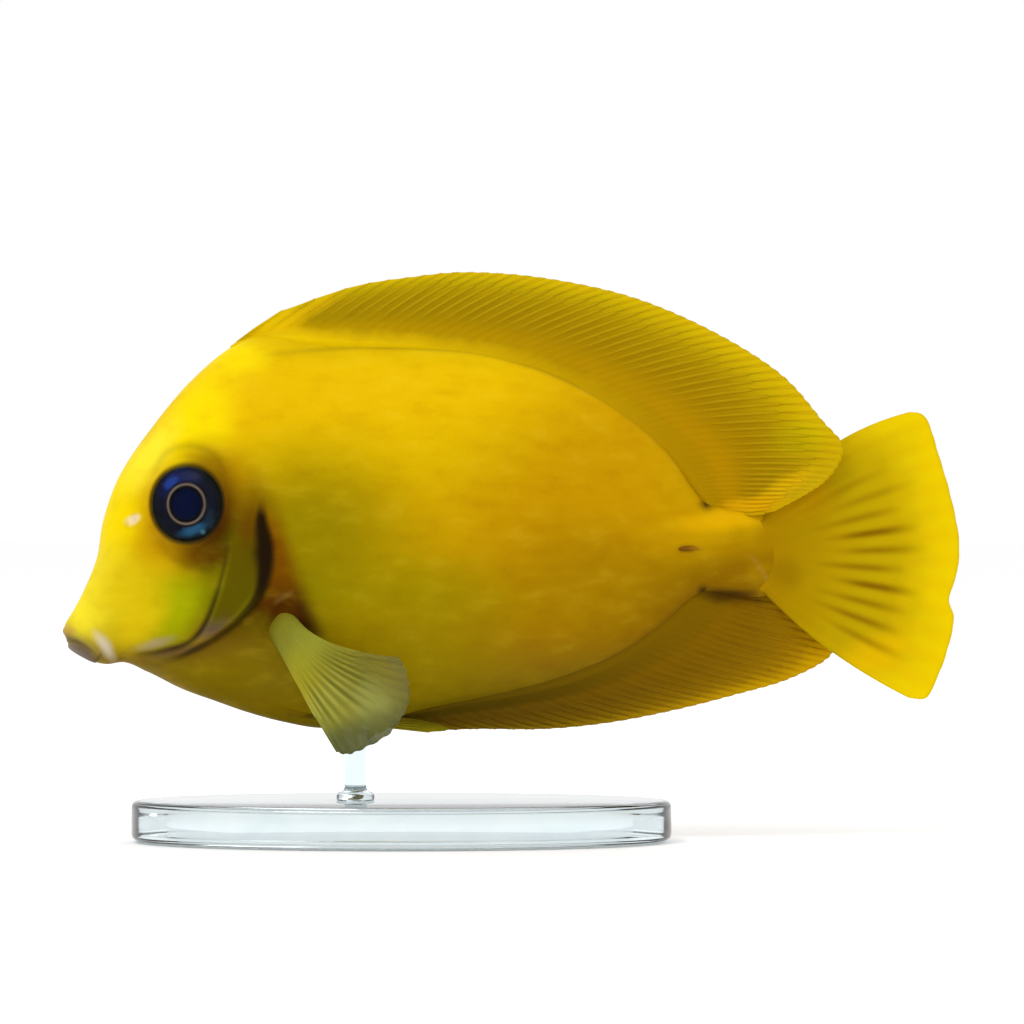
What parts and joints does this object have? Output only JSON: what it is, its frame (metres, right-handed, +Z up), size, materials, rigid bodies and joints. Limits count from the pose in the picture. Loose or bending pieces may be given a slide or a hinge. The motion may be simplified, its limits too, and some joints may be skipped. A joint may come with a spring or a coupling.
{
  "type": "young chocolate surgeonfish on a display stand",
  "caption": "Life-size young surgeonfish, deep flat yellow body with spread rayed fins, held over a clear oval stand by a rod.",
  "frame": {"origin": "on the floor under the middle of the fish's length", "axes": "head towards -X, the fish's left side towards -Y, +Z up"},
  "size_m": [0.0896, 0.034, 0.0568],
  "materials": {
    "skin": "painted satin skin",
    "fin": "thin satin membrane",
    "pale_fin": "thin see-through membrane",
    "eye": "wet gloss",
    "blade": "satin horn",
    "stand": "clear polished acrylic"
  },
  "bodies": {
    "root": {"head": "skin", "trunk": "skin", "tail_stalk": "skin", "dorsal_fin": "fin", "anal_fin": "fin", "caudal_fin": "fin", "pectoral_fin_left": "pale_fin", "pectoral_fin_right": "pale_fin", "pelvic_fin_left": "fin", "pelvic_fin_right": "fin", "eye_left": "eye", "eye_right": "eye", "tail_blade_left": "blade", "tail_blade_right": "blade", "stand_base": "stand", "stand_rod": "stand"}
  },
  "joints": []
}
